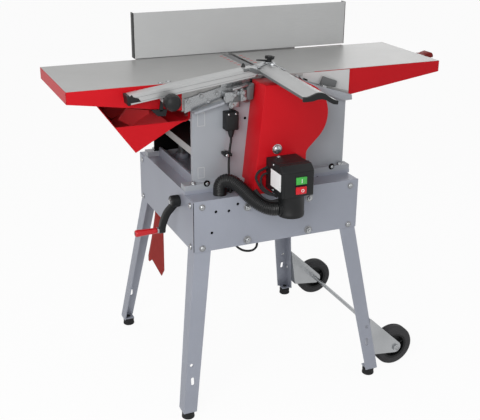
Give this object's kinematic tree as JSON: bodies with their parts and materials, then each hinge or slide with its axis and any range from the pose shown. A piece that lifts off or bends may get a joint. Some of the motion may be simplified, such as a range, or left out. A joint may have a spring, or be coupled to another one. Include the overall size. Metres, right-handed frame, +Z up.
{
  "type": "combination planer thicknesser",
  "caption": "Planer thicknesser on a splayed sheet stand: two planing tables, tilting fence, bridge guard, chip hood, crank-lifted thicknessing table and transport wheels.",
  "frame": {"origin": "on the floor under the middle of the bounding box", "axes": "+X along the planing tables to the infeed end, +Y to the fence, +Z up"},
  "size_m": [1.0924, 0.8193, 0.9922],
  "materials": {
    "panel_paint": "silver-grey powder coat",
    "plate_paint": "light grey paint",
    "red_paint": "red powder coat",
    "red_plastic": "red plastic",
    "green_plastic": "green plastic",
    "ground_aluminium": "ground",
    "anodised": "anodised",
    "zinc": "bright zinc",
    "steel": "turned steel",
    "motor_paint": "black paint",
    "black_plastic": "black plastic",
    "rubber": "black rubber",
    "tyre": "dark grey tyre",
    "red_wood": "red painted board"
  },
  "bodies": {
    "frame": {"stand_front_panel": "panel_paint", "stand_rear_panel": "panel_paint", "stand_left_panel": "panel_paint", "stand_right_panel": "panel_paint", "leg_front_left": "panel_paint", "leg_front_right": "panel_paint", "leg_rear_left": "panel_paint", "leg_rear_right": "panel_paint", "rubber_feet": "rubber", "stand_bolts": "zinc", "wheel_brackets": "zinc", "wheel_axle": "steel", "body_base": "panel_paint", "body_front_plate": "plate_paint", "body_rear_plate": "plate_paint", "shaft_bearings": "steel", "cross_bars": "zinc", "motor": "motor_paint", "drive_belt": "rubber", "feed_chain": "motor_paint", "rear_cover": "red_paint", "outfeed_table": "ground_aluminium", "outfeed_skirt": "red_paint", "side_brackets": "zinc", "fence_holder": "zinc", "belt_cover": "red_paint", "switch_box": "black_plastic", "limit_switch": "black_plastic", "cables": "rubber", "conduit_hose": "black_plastic"},
    "front_wheel": {"front_wheel": "tyre"},
    "rear_wheel": {"rear_wheel": "tyre"},
    "cutter": {"cutterblock": "steel", "planer_knives": "steel", "cutter_pulley": "steel"},
    "motor_rotor": {"motor_pulley": "steel"},
    "infeed_roller": {"infeed_roller": "steel"},
    "outfeed_roller": {"outfeed_roller": "steel"},
    "fingers": {"kickback_fingers": "steel"},
    "lift_table": {"thicknesser_table": "ground_aluminium", "guide_posts": "steel", "lift_screw": "steel"},
    "nut": {"lift_nut": "steel"},
    "crank": {"crank_shaft": "steel", "crank_arm": "black_plastic"},
    "grip": {"crank_grip": "red_plastic"},
    "infeed": {"infeed_table": "ground_aluminium", "infeed_skirt": "red_paint"},
    "lever": {"depth_lever": "red_paint"},
    "fence_carriage": {"fence_yoke": "zinc"},
    "fence": {"fence_plate": "anodised"},
    "arm": {"guard_arm": "anodised", "guard_clamp": "zinc"},
    "guard": {"guard_profile": "anodised"},
    "arm_knob": {"guard_knob": "black_plastic"},
    "thumb_knob": {"clamp_knob": "black_plastic"},
    "hood": {"chip_hood": "red_paint"},
    "start": {"start_button": "green_plastic"},
    "stop": {"stop_button": "red_plastic"},
    "stick": {"push_stick": "red_wood"}
  },
  "joints": [
    {"name": "front_wheel_spin", "type": "hinge", "parent": "frame", "child": "front_wheel", "pos_m": [0.33975, -0.17538, 0.0605], "axis": [0, 1, 0], "continuous": true},
    {"name": "rear_wheel_spin", "type": "hinge", "parent": "frame", "child": "rear_wheel", "pos_m": [0.33975, 0.31462, 0.0605], "axis": [0, 1, 0], "continuous": true},
    {"name": "cutter_spin", "type": "hinge", "parent": "frame", "child": "cutter", "pos_m": [-0.02825, 0.06962, 0.8336], "axis": [0, 1, 0], "continuous": true},
    {"name": "motor_spin", "type": "hinge", "parent": "frame", "child": "motor_rotor", "pos_m": [-0.02825, -0.12238, 0.51], "axis": [0, 1, 0], "continuous": true},
    {"name": "infeed_roller_spin", "type": "hinge", "parent": "frame", "child": "infeed_roller", "pos_m": [-0.09025, 0.06962, 0.8146], "axis": [0, 1, 0], "continuous": true},
    {"name": "outfeed_roller_spin", "type": "hinge", "parent": "frame", "child": "outfeed_roller", "pos_m": [0.03375, 0.06962, 0.8146], "axis": [0, 1, 0], "continuous": true},
    {"name": "finger_swing", "type": "hinge", "parent": "frame", "child": "fingers", "pos_m": [-0.12625, 0.06962, 0.8106], "axis": [0, -1, 0], "range_deg": [0, 35]},
    {"name": "crank_turn", "type": "hinge", "parent": "frame", "child": "crank", "pos_m": [-0.22825, -0.04738, 0.551], "axis": [1, 0, 0], "range_deg": [-3610, 4690]},
    {"name": "table_lift", "type": "slide", "parent": "frame", "child": "lift_table", "axis": [0, 0, 1], "range_m": [-0.05, 0.065]},
    {"name": "nut_turn", "type": "hinge", "parent": "frame", "child": "nut", "pos_m": [-0.17825, -0.04738, 0.575], "axis": [0, 0, 1], "range_deg": [-3610, 4690]},
    {"name": "grip_spin", "type": "hinge", "parent": "crank", "child": "grip", "pos_m": [-0.35425, -0.04738, 0.477], "axis": [1, 0, 0], "continuous": true},
    {"name": "infeed_depth", "type": "slide", "parent": "frame", "child": "infeed", "axis": [0.9272, 0, -0.3746], "range_m": [-0.0066, 0.0013]},
    {"name": "depth_lever_swing", "type": "hinge", "parent": "infeed", "child": "lever", "pos_m": [0.50175, 0.04462, 0.8521], "axis": [0, 1, 0], "range_deg": [-26, 6]},
    {"name": "fence_slide", "type": "slide", "parent": "frame", "child": "fence_carriage", "axis": [0, 1, 0], "range_m": [-0.09, 0]},
    {"name": "fence_tilt", "type": "hinge", "parent": "fence_carriage", "child": "fence", "pos_m": [0.03275, 0.23562, 0.8842], "axis": [1, 0, 0], "range_deg": [-45, 0]},
    {"name": "guard_arm_lift", "type": "hinge", "parent": "frame", "child": "arm", "pos_m": [-0.31125, -0.09038, 0.8386], "axis": [0, -1, 0], "range_deg": [0, 12]},
    {"name": "guard_slide", "type": "slide", "parent": "arm", "child": "guard", "axis": [0.0767, 0.9971, 0], "range_m": [0, 0.205]},
    {"name": "guard_knob_turn", "type": "hinge", "parent": "frame", "child": "arm_knob", "pos_m": [-0.31125, -0.13038, 0.8386], "axis": [0, 1, 0], "continuous": true},
    {"name": "clamp_knob_turn", "type": "hinge", "parent": "arm", "child": "thumb_knob", "pos_m": [-0.02998, -0.07762, 0.9009], "axis": [0.0921, -0.0071, 0.9957], "continuous": true},
    {"name": "hood_slide", "type": "slide", "parent": "frame", "child": "hood", "axis": [1, 0, 0], "range_m": [-0.3, 0]},
    {"name": "start_press", "type": "slide", "parent": "frame", "child": "start", "axis": [0, 1, 0], "range_m": [0, 0.003], "stiffness_N_per_m": 600},
    {"name": "stop_press", "type": "slide", "parent": "frame", "child": "stop", "axis": [0, 1, 0], "range_m": [0, 0.003], "stiffness_N_per_m": 600},
    {"name": "push_stick_swing", "type": "hinge", "parent": "frame", "child": "stick", "pos_m": [-0.23225, 0.22462, 0.512], "axis": [0, -1, 0], "range_deg": [0, 20]}
  ],
  "couplings": [
    {"joint": "motor_spin", "follows": "cutter_spin", "ratio": 0.44444},
    {"joint": "outfeed_roller_spin", "follows": "infeed_roller_spin", "ratio": 1},
    {"joint": "crank_turn", "follows": "table_lift", "rad_per_m": 1256.6},
    {"joint": "nut_turn", "follows": "table_lift", "rad_per_m": 1256.6},
    {"joint": "depth_lever_swing", "follows": "infeed_depth", "rad_per_m": 66}
  ]
}
